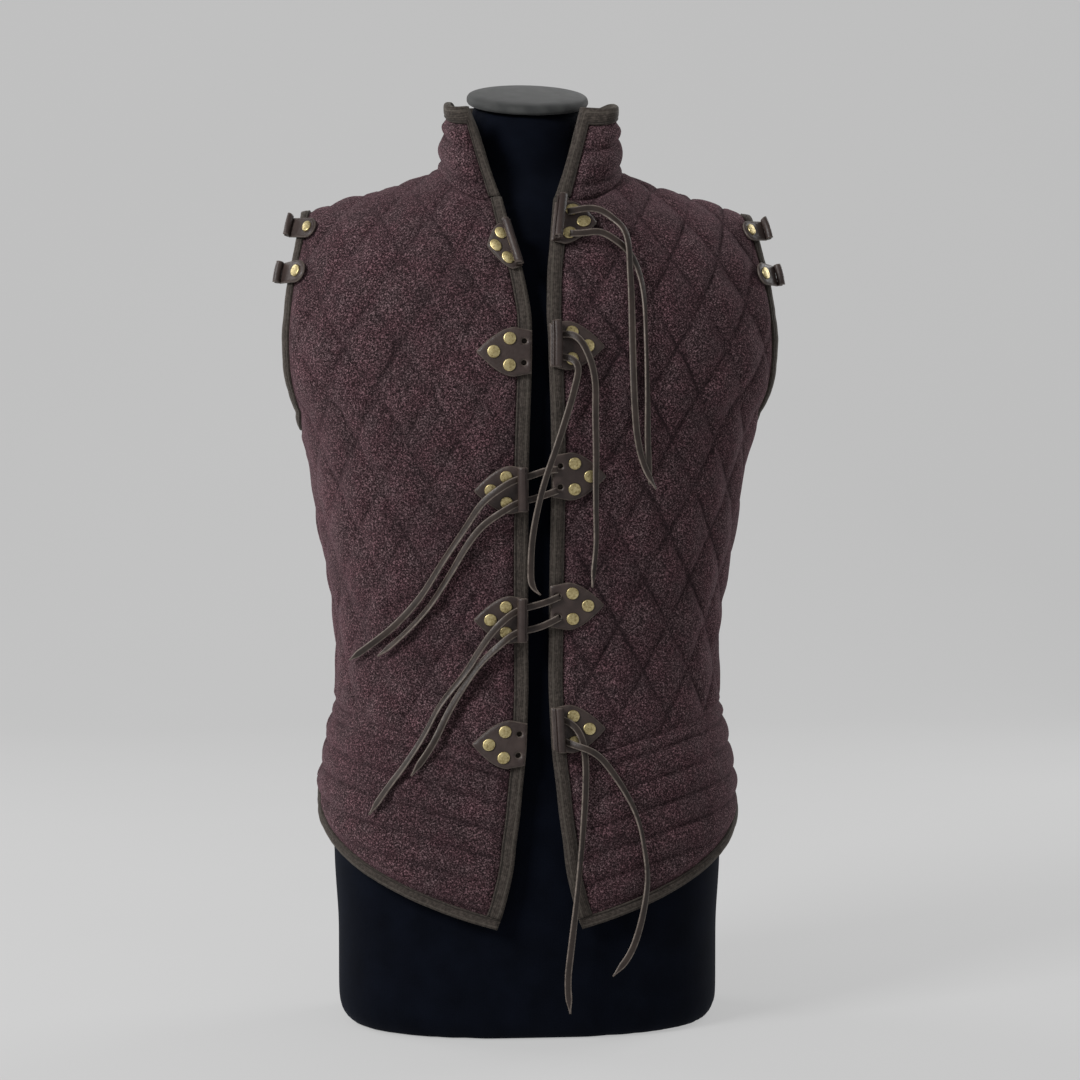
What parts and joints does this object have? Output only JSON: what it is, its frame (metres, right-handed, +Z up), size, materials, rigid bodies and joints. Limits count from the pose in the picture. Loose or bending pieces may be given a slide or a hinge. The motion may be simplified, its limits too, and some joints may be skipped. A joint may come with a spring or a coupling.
{
  "type": "quilted wool vest on dress form",
  "caption": "Sleeveless quilted wool vest with stand collar, bound edges and leather clasps, worn on a limbless dress form.",
  "frame": {"origin": "middle of the dress form's flat foot, on the surface it stands on", "axes": "+Z up, -Y towards the front opening, +X to the right as seen from the front"},
  "size_m": [0.456, 0.2925, 0.8454],
  "materials": {
    "wool": "felted wool melange, matt",
    "twill": "bias twill tape, matt",
    "leather": "satin",
    "lace": "satin",
    "rivet": "antiqued",
    "form": "stretched jersey",
    "cap": "matt cloth"
  },
  "bodies": {
    "root": {"front_right": "wool", "front_left": "wool", "back": "wool", "skirt_right": "wool", "skirt_left": "wool", "skirt_back": "wool", "collar": "wool", "binding_front_right": "twill", "binding_front_left": "twill", "binding_hem": "twill", "binding_armhole_right": "twill", "binding_armhole_left": "twill", "binding_collar": "twill", "clasp_left_1": "leather", "clasp_right_1": "leather", "clasp_left_2": "leather", "clasp_right_2": "leather", "clasp_left_3": "leather", "clasp_right_3": "leather", "clasp_left_4": "leather", "clasp_right_4": "leather", "clasp_left_5": "leather", "clasp_right_5": "leather", "sleeve_tab_shoulder_right": "leather", "sleeve_tab_shoulder_left": "leather", "sleeve_tab_upper_right": "leather", "sleeve_tab_upper_left": "leather", "lace_1_right_inner": "lace", "lace_1_right_outer": "lace", "lace_2_right_inner": "lace", "lace_2_right_outer": "lace", "lace_3_upper": "lace", "lace_3_lower": "lace", "lace_4_upper": "lace", "lace_4_lower": "lace", "lace_5_right_inner": "lace", "lace_5_right_outer": "lace", "form_torso": "form", "form_cap": "cap"}
  },
  "joints": []
}
